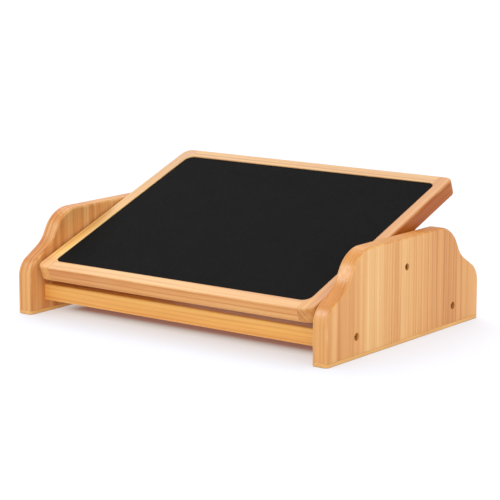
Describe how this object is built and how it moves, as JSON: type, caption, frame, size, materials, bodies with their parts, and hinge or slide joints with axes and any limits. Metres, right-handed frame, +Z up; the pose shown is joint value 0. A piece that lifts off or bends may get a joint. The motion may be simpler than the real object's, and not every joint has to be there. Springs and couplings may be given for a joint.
{
  "type": "tilting footrest",
  "caption": "Wooden under-desk footrest: bell-shaped side panels joined by flat rails carry a tray with a black grip mat that tilts forward and back on its side pivots.",
  "frame": {"origin": "on the floor, under the middle of the footprint", "axes": "+Z up, +X to the right of the person whose feet are on it, along the pivots, and +Y to the rear, away from the person"},
  "size_m": [0.4512, 0.3112, 0.1669],
  "materials": {
    "panel_wood": "clear gloss lacquer",
    "rail_wood": "clear gloss lacquer",
    "tray_wood": "clear gloss lacquer",
    "board_wood": "clear lacquer",
    "dowel_wood": "bare, glued in",
    "mat_rubber": "matt, fine pyramid pattern",
    "strip_rubber": "satin",
    "screw_steel": "dark bronze coating",
    "insert_brass": "machined",
    "nylon": "moulded"
  },
  "bodies": {
    "base": {"left_side_panel": "panel_wood", "left_foot_strip": "strip_rubber", "left_pivot_bush": "nylon", "front_rail_screw_left": "screw_steel", "rear_rail_screw_left": "screw_steel", "right_side_panel": "panel_wood", "right_foot_strip": "strip_rubber", "right_pivot_bush": "nylon", "front_rail_screw_right": "screw_steel", "rear_rail_screw_right": "screw_steel", "front_rail": "rail_wood", "front_rail_dowels": "dowel_wood", "rear_rail": "rail_wood", "rear_rail_dowels": "dowel_wood"},
    "tray": {"tray_rim_left": "tray_wood", "tray_rim_right": "tray_wood", "tray_rim_front": "tray_wood", "tray_rim_rear": "tray_wood", "tray_rim_dowels": "dowel_wood", "tray_panel": "board_wood", "tilt_bar": "rail_wood", "tilt_bar_screws": "screw_steel", "grip_mat": "mat_rubber", "left_pivot_spacer": "nylon", "left_pivot_bolt": "screw_steel", "left_threaded_insert": "insert_brass", "right_pivot_spacer": "nylon", "right_pivot_bolt": "screw_steel", "right_threaded_insert": "insert_brass"}
  },
  "joints": [
    {"name": "tray_tilt", "type": "hinge", "parent": "base", "child": "tray", "pos_m": [0, 0, 0.086], "axis": [1, 0, 0], "range_deg": [-46.6, 5.4]}
  ]
}
